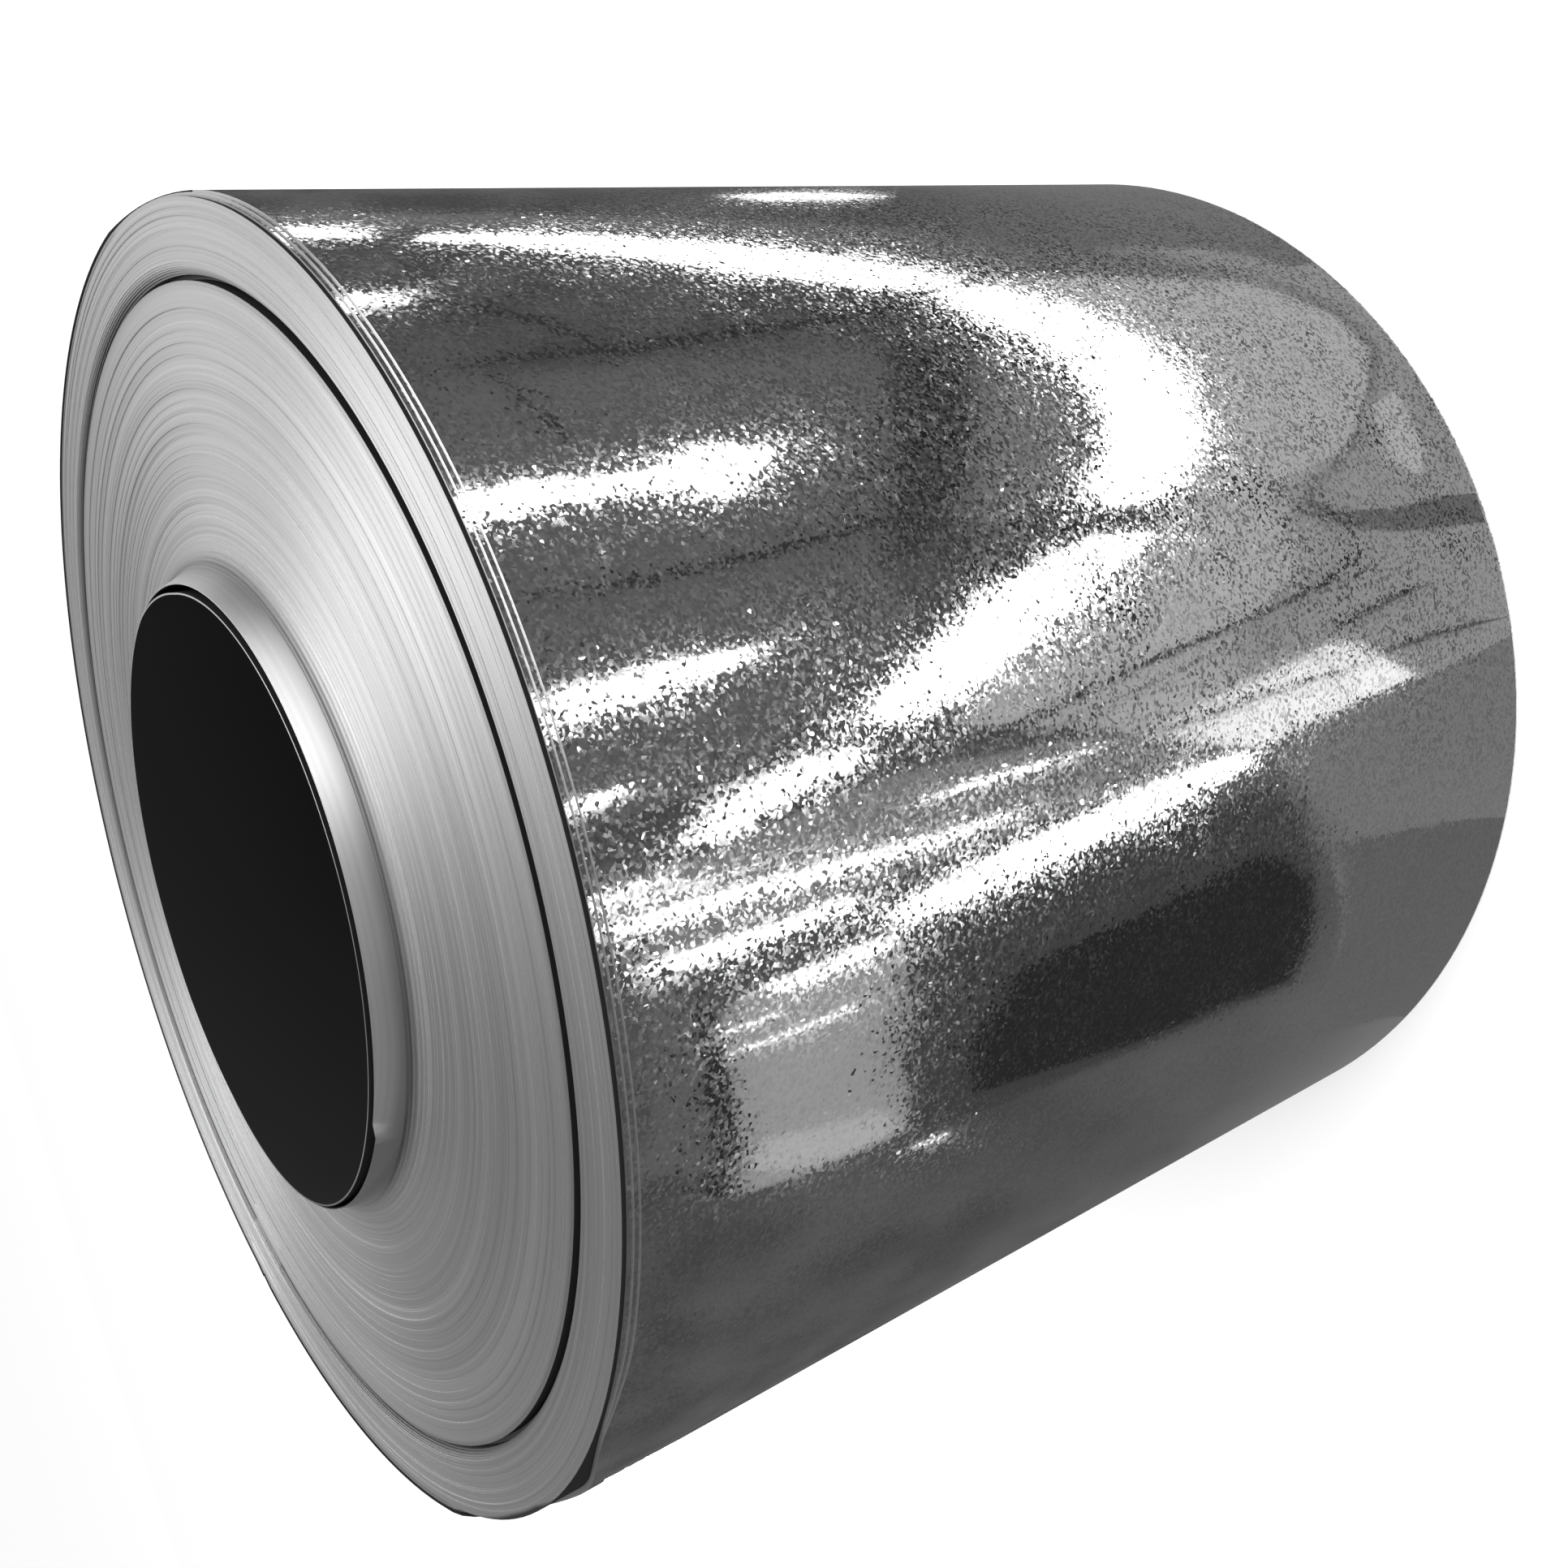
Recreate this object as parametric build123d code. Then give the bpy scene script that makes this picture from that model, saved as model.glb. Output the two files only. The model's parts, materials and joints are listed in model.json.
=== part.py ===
from build123d import *
import math
import os

# A coil of galvanised steel strip, standing on its end.
# Millimetres, +Z up. The coil's axis is Z and the origin is on the floor, in the middle of
# the bore. The end with the proud collar is on top. Angles run anticlockwise from +X, as
# seen from above.

# The strip, and the coil that it is wound into
strip_width = 1000.0        # every turn is this wide
strip_thickness = 1.5
bore_diameter = 508.0       # the mandrel that it was wound on
outer_diameter = 1115.0

# The first turns stand proud of the top as a steep collar, with a gentle flare round it
collar_thickness = 19.0     # of the turns in the collar, along the radius
collar_rise = 21.0          # from the top of the flare to the lip of the collar
flare_thickness = 36.0      # of the turns in the flare, along the radius
flare_rise = 11.0           # from the flat of the end to the top of the flare

# One band of turns was wound loose and has slipped back, which leaves a ring groove
groove_thickness = 13.0     # of the turns that slipped, along the radius
groove_depth = 9.0
outer_ring_thickness = 46.0  # of the turns between the groove and the rim

# The last turns step back from the rim, one behind the other
rim_wraps = 3
rim_step = 4.0

# The free end of the strip on the outside
tail_angle = 162.5
tail_lift = 1.0             # the end springs off the turn below it

# How far neighbouring turns wander in the flat of the ends
wander = 1.2

# How many bands of turns each stretch of the ends is drawn in
collar_band_count = 4
flare_band_count = 3
land_band_count = 5
groove_band_count = 2
outer_band_count = 1

bore_radius = bore_diameter / 2
outer_radius = outer_diameter / 2
collar_radius = bore_radius + collar_thickness
flare_radius = collar_radius + flare_thickness
rim_radius = outer_radius - rim_wraps * strip_thickness
groove_end = rim_radius - outer_ring_thickness
groove_radius = groove_end - groove_thickness


def stretch(inner, outer, count, shift):
    """Bands of equal thickness across a stretch of the radius, each with its own shift."""
    step = (outer - inner) / count
    return [(inner + i * step, inner + (i + 1) * step, shift(i)) for i in range(count)]


def collar_shift(index):
    """The collar is a cone in steps, highest at the bore."""
    return flare_rise + collar_rise * (1 - index / collar_band_count)


def flare_shift(index):
    """The flare is a hollow curve that runs out into the flat of the end."""
    return flare_rise * (1 - (index + 0.5) / flare_band_count) ** 2


def wander_shift(index):
    """Neighbouring bands of turns lie a little above or below each other."""
    return wander / 2 * math.sin(2.4 * index)


def groove_shift(index):
    """The groove is deepest at its inner side and runs out towards the rim."""
    return -groove_depth * (1 - index / groove_band_count) ** 1.5


def rim_shift(index):
    """Each of the last turns lies one step further back."""
    return -rim_step * (index + 1)


def turn_bands():
    """The turns from the bore outwards, as (inner radius, outer radius, shift upwards)."""
    return (
        stretch(bore_radius, collar_radius, collar_band_count, collar_shift)
        + stretch(collar_radius, flare_radius, flare_band_count, flare_shift)
        + stretch(flare_radius, groove_radius, land_band_count, wander_shift)
        + stretch(groove_radius, groove_end, groove_band_count, groove_shift)
        + stretch(groove_end, rim_radius, outer_band_count, wander_shift)
        + stretch(rim_radius, outer_radius, rim_wraps, rim_shift)
    )


def end_line(bands, height):
    """The stepped line of one end, from the bore to the rim."""
    points = []
    for inner, outer, shift in bands:
        points.append((inner, 0, height + shift))
        points.append((outer, 0, height + shift))
    return points


def turned_coil(bands):
    """All turns as one solid of revolution: a band that is proud on top is short below."""
    floor_gap = -min(shift for inner, outer, shift in bands)
    bottom = end_line(bands, floor_gap)
    top = end_line(bands, floor_gap + strip_width)
    section = make_face(Polyline(*bottom, *reversed(top), close=True))
    return revolve(section, axis=Axis.Z)


def winding_outline(height):
    """A prism round the coil whose radius drops by one step at the free end of the strip.

    The spiral is drawn as two half turns about centres that are half a step apart.
    """
    step = strip_thickness + tail_lift
    reach = 2 * outer_radius
    last_half = Circle(outer_radius) & Pos(0, reach / 2) * Rectangle(2 * reach, reach)
    other_half = Pos(-step / 2, 0) * Circle(outer_radius - step / 2)
    other_half = other_half & Pos(0, -reach / 2) * Rectangle(2 * reach, reach)
    return Rot(0, 0, tail_angle) * extrude(last_half + other_half, amount=height)


def coil():
    """The whole coil, standing on the turns that reach down furthest."""
    wound = turned_coil(turn_bands())
    return wound & winding_outline(wound.bounding_box().max.Z)


os.makedirs("parts", exist_ok=True)
export_step(coil(), "parts/steel_coil.step")
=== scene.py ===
import json
import math
import random

import bpy
from mathutils import Matrix, Vector


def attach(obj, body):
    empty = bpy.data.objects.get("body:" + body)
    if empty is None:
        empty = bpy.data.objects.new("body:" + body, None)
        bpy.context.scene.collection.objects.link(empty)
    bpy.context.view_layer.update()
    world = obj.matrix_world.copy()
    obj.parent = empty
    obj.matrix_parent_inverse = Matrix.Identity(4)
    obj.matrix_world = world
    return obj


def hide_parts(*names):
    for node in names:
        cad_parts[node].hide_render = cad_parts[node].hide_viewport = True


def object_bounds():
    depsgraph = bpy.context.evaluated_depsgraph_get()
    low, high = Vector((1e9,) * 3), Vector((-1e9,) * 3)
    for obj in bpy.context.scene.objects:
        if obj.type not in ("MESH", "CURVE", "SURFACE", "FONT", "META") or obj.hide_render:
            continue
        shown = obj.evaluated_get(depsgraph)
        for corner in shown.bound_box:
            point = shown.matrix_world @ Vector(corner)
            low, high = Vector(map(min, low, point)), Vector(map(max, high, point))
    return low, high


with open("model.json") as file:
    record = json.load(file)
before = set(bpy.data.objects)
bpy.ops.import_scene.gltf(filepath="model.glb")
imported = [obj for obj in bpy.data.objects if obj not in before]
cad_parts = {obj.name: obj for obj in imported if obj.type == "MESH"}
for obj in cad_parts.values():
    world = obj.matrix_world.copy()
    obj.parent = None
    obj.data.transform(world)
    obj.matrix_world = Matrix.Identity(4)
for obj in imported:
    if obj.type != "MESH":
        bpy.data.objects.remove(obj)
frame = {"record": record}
cad_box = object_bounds()

# Metres, in the coil's frame: +Z is the coil's axis, with the collar end on top. A clock
# angle is in degrees and runs clockwise from +X, as seen from above.
bore = frame["record"]["mounts"][0]
BORE_RADIUS = bore["dims"]["r_mm"] / 1000
STRIP_WIDTH = bore["dims"]["length_mm"] / 1000
LIP_HEIGHT = bore["pos_m"][2] + STRIP_WIDTH / 2
INSET = 0.0001                 # keeps the wound strip inside the solid's box
OUTER_RADIUS = (cad_box[1][0] - cad_box[0][0]) / 2 - INSET

# The turns, as in the solid
STRIP_THICKNESS = 0.0015
COLLAR_THICKNESS = 0.019
COLLAR_RISE = 0.021
FLARE_THICKNESS = 0.036
FLARE_RISE = 0.011
GROOVE_THICKNESS = 0.013
GROOVE_DEPTH = 0.009
OUTER_RING_THICKNESS = 0.046
RIM_WRAPS = 3
RIM_STEP = 0.004
TAIL_ANGLE = math.radians(162.5)
TAIL_STEP = 0.0025
WANDER = 0.0012

FACE_HEIGHT = LIP_HEIGHT - COLLAR_RISE - FLARE_RISE
COLLAR_RADIUS = BORE_RADIUS + COLLAR_THICKNESS
FLARE_RADIUS = COLLAR_RADIUS + FLARE_THICKNESS
RIM_RADIUS = OUTER_RADIUS - RIM_WRAPS * STRIP_THICKNESS
GROOVE_END = RIM_RADIUS - OUTER_RING_THICKNESS
GROOVE_RADIUS = GROOVE_END - GROOVE_THICKNESS

# Fine relief that the solid leaves out
LOOSE_WRAPS = 1                # at the bore, with a gap round it
LOOSE_GAP = 0.0065
LOOSE_GAP_DEPTH = 0.060
LOOSE_RISE = 0.0012            # of the loose wrap's edge above the collar
LOOSE_DEPTH = 0.100            # how far down the bore the loose wrap is loose
COLLAR_BEVEL = 0.0004
COLLAR_STEPS = 8               # points along the slope of the collar
COLLAR_CURVE = 0.9             # under 1, the slope is steeper at its top
COLLAR_FOOT = 0.001            # the foot lies this much below the top of the flare
SLOT_WIDTH = 0.0038            # the open slot at the inner side of the groove
SLOT_DEPTH = 0.012
OUTER_RISE = 0.0015            # of the turns outside the groove above the flat of the end
WAVES = ((213, 0), (710, 1.3))  # radians per metre of radius, and phase
BUNDLE_JITTER = 0.00035
FLARE_JITTER = 0.0002
FINE_JITTER = 0.0001
TOP_SEED = 11
FLOOR_SEED = 23

LOOSE_EDGE = BORE_RADIUS + LOOSE_WRAPS * STRIP_THICKNESS
COLLAR_EDGE = LOOSE_EDGE + LOOSE_GAP

# The loose wrap and the collar sag outwards on one side of the bore
LOOSE_SAG = 0.022
COLLAR_SAG = LOOSE_SAG - LOOSE_GAP
SAG_CLOCK = 165
SAG_HALF = 75
GAP_CLOSES = (200, 226)        # clock angles over which the gap round the loose wrap closes
GAP_OPENS = (320, 345)
CLOSED_GAP = 0.0003            # what is left of the gap where it is closed
NOTCH_CLOCK = 113              # the collar's first wraps end in a notch
NOTCH = 0.007
NOTCH_END = 162                # the wraps have run out into the collar here

# The last wraps hang back from the rim, and further round they are level with it
HANG_BACK = 0.034
HANG_STARTS = (108, 133)
HANG_ENDS = (133, 152)
HANG_CURVE = 1.3               # over 1, they slip back more slowly at first
GATHER_STARTS = (103, 113)     # where they hang back, their edges are gathered in one line
GATHER_ENDS = (138, 152)
LEVEL_STARTS = (138, 148)
LEVEL_ENDS = (338, 356)
PROUD = 0.0013                 # of the last wrap only, where they are level
RIM_FIRST_STEP = 0.002         # on top, from the rim back to the first of the last wraps
RIM_LOOSE_DEPTH = 0.3          # how far down the outside the last wraps are loose
TOP_OF_LAST_WRAPS = FACE_HEIGHT - RIM_FIRST_STEP - RIM_STEP * (RIM_WRAPS - 1)
RIM_BAND = 2 * STRIP_THICKNESS  # the turns next to the rim lie in one plane

SEGMENTS = 192
SIDE_ROWS = 32
NEAR = 0.0002                  # points this close count as being on the same radius
SAME_POINT = 0.00002
SEAM_ANGLE = 0.001             # radians to either side of the strip's free end
CREASE_ANGLE = math.radians(35)

# The finishes of the coil, as places in its list of materials; the last two are painted shade,
# black and grey
SIDE, EDGES, PAINTED_SHADE_BLACK, PAINTED_SHADE_GREY = range(4)
RIM_DEPTH = 0.013              # the edges of the last wraps lie no further down than this
TOP_DEPTH = 0.1                # nor any face of the gaps in the top end


def deselect_all():
    if bpy.context.mode != "OBJECT":
        bpy.ops.object.mode_set(mode="OBJECT")
    bpy.ops.object.select_all(action="DESELECT")


def turn_shift(radius):
    """How far the turns at a radius stand above the flat of the end."""
    if radius < COLLAR_RADIUS:
        left = (COLLAR_RADIUS - radius) / COLLAR_THICKNESS
        return FLARE_RISE + COLLAR_RISE * left
    if radius < FLARE_RADIUS:
        left = (FLARE_RADIUS - radius) / FLARE_THICKNESS
        return FLARE_RISE * left ** 2
    if GROOVE_RADIUS < radius < GROOVE_END:
        left = (GROOVE_END - radius) / GROOVE_THICKNESS
        return OUTER_RISE * (1 - left) - GROOVE_DEPTH * left ** 1.5
    wavy = WANDER / 4 * sum(math.sin(radius * pace + phase) for pace, phase in WAVES)
    return wavy + (OUTER_RISE if radius > GROOVE_END else 0)


def bundles(inner, outer, fewest, most, jitter, rng):
    """Bundles of whole turns across a stretch of the radius, as points of the end line."""
    line = []
    radius = inner
    while radius < outer - STRIP_THICKNESS / 2:
        end = min(radius + rng.randint(fewest, most) * STRIP_THICKNESS, outer)
        height = turn_shift((radius + end) / 2) + rng.uniform(-jitter, jitter)
        line += [(radius, height), (end, height)]
        radius = end
    return line


def rim_line(first_step):
    """The last wraps, each a step behind the one inside it."""
    line = []
    for wrap in range(RIM_WRAPS):
        inner = RIM_RADIUS + wrap * STRIP_THICKNESS
        shift = -first_step - RIM_STEP * wrap
        line += [(inner, shift), (inner + STRIP_THICKNESS, shift)]
    return line


def collar_line():
    """The loose wrap, the gap round it and the sloping collar."""
    lip = COLLAR_RISE + FLARE_RISE
    collar_top = lip - LOOSE_RISE
    start = COLLAR_EDGE + STRIP_THICKNESS
    line = [
        (BORE_RADIUS, lip - LOOSE_DEPTH),
        (BORE_RADIUS, lip),
        (LOOSE_EDGE, lip),
        (LOOSE_EDGE, lip - LOOSE_GAP_DEPTH),
        (COLLAR_EDGE, lip - LOOSE_GAP_DEPTH),
        (COLLAR_EDGE, collar_top - COLLAR_BEVEL),
        (COLLAR_EDGE + COLLAR_BEVEL, collar_top),
        (start, collar_top),
    ]
    fall = COLLAR_RISE - LOOSE_RISE + COLLAR_FOOT
    for i in range(1, COLLAR_STEPS + 1):
        part = i / COLLAR_STEPS
        radius = start + (COLLAR_RADIUS - start) * part
        line.append((radius, collar_top - fall * part ** COLLAR_CURVE))
    line.append((COLLAR_RADIUS + STRIP_THICKNESS, FLARE_RISE - COLLAR_FOOT))
    return line


def top_line():
    """The top end from the bore outwards, as (radius, height above the flat of the end)."""
    rng = random.Random(TOP_SEED)
    slot_end = GROOVE_RADIUS + SLOT_WIDTH
    band_start = RIM_RADIUS - RIM_BAND
    line = collar_line()
    line += bundles(COLLAR_RADIUS + STRIP_THICKNESS, FLARE_RADIUS, 1, 3, FLARE_JITTER, rng)
    line += bundles(FLARE_RADIUS, GROOVE_RADIUS, 1, 3, BUNDLE_JITTER, rng)
    line += [(GROOVE_RADIUS, -SLOT_DEPTH), (slot_end, -SLOT_DEPTH)]
    line += bundles(slot_end, GROOVE_END, 1, 1, FINE_JITTER, rng)
    line += bundles(GROOVE_END, band_start, 1, 3, BUNDLE_JITTER, rng)
    line += bundles(band_start, RIM_RADIUS, 2, 2, 0, rng)
    return line + rim_line(RIM_FIRST_STEP)


def floor_line():
    """The end that the coil stands on: turns that are proud on top are short here."""
    rng = random.Random(FLOOR_SEED)
    line = bundles(BORE_RADIUS, COLLAR_RADIUS, 2, 2, FINE_JITTER, rng)
    line += bundles(COLLAR_RADIUS, FLARE_RADIUS, 2, 4, FLARE_JITTER, rng)
    line += bundles(FLARE_RADIUS, GROOVE_RADIUS, 2, 6, BUNDLE_JITTER, rng)
    line += bundles(GROOVE_RADIUS, GROOVE_END, 2, 2, FINE_JITTER, rng)
    line += bundles(GROOVE_END, RIM_RADIUS, 2, 5, BUNDLE_JITTER, rng)
    return line + rim_line(RIM_STEP)


def section_points():
    """The outline of the coil's section on one side of the axis, as (radius, height)."""
    floor_face = FACE_HEIGHT - STRIP_WIDTH
    top = [(radius, FACE_HEIGHT + shift) for radius, shift in top_line()]
    bottom = [(radius, floor_face + shift) for radius, shift in floor_line()]
    low, high = bottom[-1][1], top[-1][1]
    side = [
        (OUTER_RADIUS, high + (low - high) * i / SIDE_ROWS) for i in range(1, SIDE_ROWS)
    ]
    return top + side + bottom[::-1]


def draw_section(points):
    """One vertex is extruded from point to point, in the plane of the strip's free end."""
    bpy.ops.mesh.primitive_plane_add(size=0.001)
    bpy.ops.object.mode_set(mode="EDIT")
    bpy.ops.mesh.merge(type="CENTER")
    turn = Matrix.Rotation(TAIL_ANGLE, 3, "Z")
    here = Vector((0, 0, 0))
    for number, (radius, height) in enumerate(points):
        there = turn @ Vector((radius, 0, height))
        step = {"value": there - here}
        if number == 0:
            bpy.ops.transform.translate(**step)
        else:
            bpy.ops.mesh.extrude_region_move(TRANSFORM_OT_translate=step)
        here = there
    bpy.ops.object.mode_set(mode="OBJECT")
    vertices = bpy.context.object.data.vertices
    vertices[0].select = vertices[len(vertices) - 1].select = True
    bpy.ops.object.mode_set(mode="EDIT")
    bpy.ops.mesh.edge_face_add()


def radius_of(point):
    return math.hypot(point.x, point.y)


def clock_of(point):
    return math.degrees(math.atan2(-point.y, point.x)) % 360


def swell(clock, centre, half_width):
    """From 0 to 1 and back over a stretch of the clock."""
    away = abs((clock - centre + 180) % 360 - 180) / half_width
    return math.cos(min(away, 1) * math.pi / 2) ** 2


def ramp(value, start, end):
    """From 0 to 1 between two values."""
    return min(max((value - start) / (end - start), 0), 1)


def smooth(part):
    """The same way from 0 to 1, with a soft start and end."""
    return part * part * (3 - 2 * part)


def lies_level(clock):
    """How far the last wraps have come level with the rim, from 0 to 1."""
    return ramp(clock, *LEVEL_STARTS) * (1 - ramp(clock, *LEVEL_ENDS))


def hangs_back(clock):
    """How far the last wraps have slipped back: a long lens below the rim."""
    slipped = smooth(ramp(clock, *HANG_STARTS)) ** HANG_CURVE
    return slipped * (1 - smooth(ramp(clock, *HANG_ENDS)))


def is_proud_edge(face):
    """Whether it is the edge or the inner wall of the last wrap, where it stands proud."""
    radius = radius_of(face.center)
    in_last_wrap = OUTER_RADIUS - STRIP_THICKNESS - NEAR < radius < OUTER_RADIUS - NEAR
    at_rim = face.center.z > FACE_HEIGHT - RIM_DEPTH
    return in_last_wrap and at_rim and lies_level(clock_of(face.center)) > 0


def finish_of(face):
    """Which finish a face of the coil has: side, turn edges, or black or grey painted shade."""
    radius = radius_of(face.center)
    height = face.center.z - FACE_HEIGHT
    upright = abs(face.normal.z) <= 0.5
    # The last wrap's proud edge and inner wall get black painted shade
    if is_proud_edge(face):
        return PAINTED_SHADE_BLACK
    if radius > RIM_RADIUS + NEAR and upright:
        return SIDE
    # The bore's wall, the slot's walls and the step at the rim get painted shade
    walls = (
        (0, COLLAR_EDGE, PAINTED_SHADE_BLACK),
        (GROOVE_RADIUS, GROOVE_RADIUS + SLOT_WIDTH, PAINTED_SHADE_GREY),
        (RIM_RADIUS, RIM_RADIUS, PAINTED_SHADE_BLACK),
    )
    for inner, outer, finish in walls:
        if upright and inner - NEAR < radius < outer + NEAR:
            return finish
    # Faces deep in the gaps of the top end get painted shade too
    if -TOP_DEPTH < height < -SLOT_DEPTH / 2 and radius < RIM_RADIUS:
        return PAINTED_SHADE_GREY if radius > GROOVE_RADIUS else PAINTED_SHADE_BLACK
    return EDGES


def move_out(vertex, new_radius):
    """Moves a vertex along its radius."""
    scale = new_radius / radius_of(vertex.co)
    vertex.co.x *= scale
    vertex.co.y *= scale


def spring_tail(coil, last_column):
    """Past the free end of the strip, the outside lies one step lower."""
    room = OUTER_RADIUS - RIM_RADIUS
    whole = 2 * math.pi
    for vertex in coil.data.vertices:
        radius = radius_of(vertex.co)
        if radius < RIM_RADIUS + NEAR:
            continue
        turned = (math.atan2(vertex.co.y, vertex.co.x) - TAIL_ANGLE) % whole
        if turned < SEAM_ANGLE or turned > whole - SEAM_ANGLE:
            turned = whole if vertex.index in last_column else 0
        drop = TAIL_STEP / 2 * (1 + math.cos(turned)) if turned > math.pi else 0
        move_out(vertex, RIM_RADIUS + (radius - RIM_RADIUS) * (1 - drop / room))


def loosen_rim(coil):
    """The last wraps hang back together and then come level, going round the clock."""
    lowest = FACE_HEIGHT - RIM_LOOSE_DEPTH
    first_wrap = FACE_HEIGHT - RIM_FIRST_STEP
    for vertex in coil.data.vertices:
        z = vertex.co.z
        if radius_of(vertex.co) < RIM_RADIUS - NEAR or z < lowest:
            continue
        if z > FACE_HEIGHT - RIM_FIRST_STEP / 2:
            continue
        clock = clock_of(vertex.co)
        part = ramp(z, lowest, TOP_OF_LAST_WRAPS) ** 3
        edge = max(z, TOP_OF_LAST_WRAPS)
        rise = FACE_HEIGHT + OUTER_RISE - edge
        if z < TOP_OF_LAST_WRAPS + RIM_STEP / 2:
            rise += PROUD
        together = ramp(clock, *GATHER_STARTS) * (1 - ramp(clock, *GATHER_ENDS))
        drop = HANG_BACK * hangs_back(clock) - together * (first_wrap - edge)
        vertex.co.z += part * (rise * lies_level(clock) - drop)


def sag_collar(coil):
    """The collar and the loose wrap in it sag outwards, and the gap between them closes."""
    lowest = LIP_HEIGHT - LOOSE_DEPTH + NEAR
    for vertex in coil.data.vertices:
        radius = radius_of(vertex.co)
        if radius > FLARE_RADIUS or vertex.co.z < lowest:
            continue
        clock = clock_of(vertex.co)
        sag = swell(clock, SAG_CLOCK, SAG_HALF)
        if radius < LOOSE_EDGE + NEAR:
            closed = ramp(clock, *GAP_CLOSES) * (1 - ramp(clock, *GAP_OPENS))
            out = LOOSE_SAG * sag + (LOOSE_GAP - CLOSED_GAP) * closed
        else:
            part = 1 - (radius - COLLAR_EDGE) / (FLARE_RADIUS - COLLAR_EDGE)
            notch = 1 - ramp(clock, NOTCH_CLOCK, NOTCH_END) if clock > NOTCH_CLOCK else 0
            notch *= 1 - ramp(radius, COLLAR_EDGE, COLLAR_RADIUS)
            out = COLLAR_SAG * sag * part + NOTCH * notch
        move_out(vertex, radius + out)


def wind_coil():
    """The section is spun round the axis, and the free end of the strip is closed."""
    deselect_all()
    draw_section(section_points())
    coil = bpy.context.object
    coil.name = coil.data.name = "wound_strip"
    bpy.ops.mesh.select_all(action="SELECT")
    bpy.ops.mesh.spin(
        steps=SEGMENTS, angle=2 * math.pi, center=(0, 0, 0), axis=(0, 0, 1),
        use_auto_merge=False,
    )
    bpy.ops.object.mode_set(mode="OBJECT")
    last_column = {v.index for v in coil.data.vertices if v.select}
    for face in coil.data.polygons:
        face.material_index = finish_of(face)
    spring_tail(coil, last_column)
    loosen_rim(coil)
    sag_collar(coil)
    bpy.ops.object.mode_set(mode="EDIT")
    bpy.ops.mesh.select_all(action="SELECT")
    bpy.ops.mesh.remove_doubles(threshold=SAME_POINT)
    bpy.ops.mesh.select_mode(type="EDGE")
    bpy.ops.mesh.select_all(action="DESELECT")
    bpy.ops.mesh.select_non_manifold()
    bpy.ops.mesh.edge_face_add()
    bpy.ops.mesh.select_all(action="SELECT")
    bpy.ops.mesh.normals_make_consistent(inside=False)
    bpy.ops.object.mode_set(mode="OBJECT")
    bpy.ops.object.shade_smooth_by_angle(angle=CREASE_ANGLE)
    return coil


# The zinc of the side. Noise is given as scale, detail and roughness.
FLAKE_SIZE = 0.0023
FLAKE_WARP = 0.004             # how crooked the flakes are
WARP_NOISE = (160, 1)
PATCH_NOISE = (14, 4, 0.6)
PATCH_RANGE = (0.35, 0.65)     # of the noise
PATCHES = (0.5, 1.6)           # how much the flakes of a patch lean
TILT_POWER = 3.5               # few flakes lean far
FLAKE_TONES = (0.62, 0.78)
FLAKE_TILT = 0.18
SPECKLE_TILT = 0.11            # added where the side is speckled
SPECKLED = (                   # axis, where it starts, where it is full, least
    ("X", -0.08, 0.28, 0.0),
    ("Z", 0.95, 0.50, 0.35),
)
DULL_FLAKES = (0.40, 0.15)     # flakes of these values are duller, the lower the more
DULLEST = 0.6
PATCH_FROST = 0.22
FROSTED = (0.4, 1.1)
ROUGHNESSES = (0.045, 0.22)
MIDDLE_GREY = (0.5, 0.5, 0.5)

# The slit edges of the turns
EDGE_TONE = 0.72
RING_NOISE = ((330, 2, 0.40), (70, 2, 0.30))  # rings per metre, detail, amount
RING_DRIFT = 0.35              # how much a ring's tone changes on the way round
BRUSHED = 0.8
# How far the painted shade darkens the turn edges in the middle of each of its rings
PAINTED_RING_SHADE = 0.45
PAINTED_SHADE_RINGS = (                       # rings of painted shade at the collar's foot and beside the groove: radius, and half the width
    (COLLAR_RADIUS + 0.003, 0.007),
    (GROOVE_RADIUS + 0.003, 0.006),
)
RIM_SHADE = 0.93
RIM_SHADE_EDGE = OUTER_RADIUS + 0.002
RIM_SHADE_WIDTH = 0.012
RIM_SHADE_SOFT = 0.003
RIM_SHADE_CLOCK = ((118, 130), (162, 136))  # from none to all of it, at either end
RIM_SHADE_HEIGHT = (FACE_HEIGHT - 0.020, FACE_HEIGHT - 0.004)

# The gaps of black and grey painted shade, and the shine of the floor
DULL_ROUGHNESS = 0.8
DULL_SPECULAR = 0.1


def new_material(name, base, metallic, roughness):
    """A material with a plain Principled shader, with its node tree and the shader."""
    material = bpy.data.materials.new(name)
    material.use_nodes = True
    shader = material.node_tree.nodes["Principled BSDF"]
    shader.inputs["Base Color"].default_value = (base, base, base, 1)
    shader.inputs["Metallic"].default_value = metallic
    shader.inputs["Roughness"].default_value = roughness
    return material, material.node_tree, shader


def give(tree, socket, value):
    """Sets a socket to a constant or links it to another node's output."""
    if isinstance(value, (int, float, tuple)):
        socket.default_value = value
    else:
        tree.links.new(value, socket)


def calc(tree, operation, *values, clamp=False):
    """The result of a sum on numbers, each a constant or another node's output."""
    node = tree.nodes.new("ShaderNodeMath")
    node.operation = operation
    node.use_clamp = clamp
    for socket, value in zip(node.inputs, values):
        give(tree, socket, value)
    return node.outputs["Value"]


def vector_calc(tree, operation, *values, scale=None):
    """The same on vectors."""
    node = tree.nodes.new("ShaderNodeVectorMath")
    node.operation = operation
    for socket, value in zip(node.inputs, values):
        give(tree, socket, value)
    if scale is not None:
        give(tree, node.inputs["Scale"], scale)
    return node.outputs["Value" if operation == "LENGTH" else "Vector"]


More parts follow.
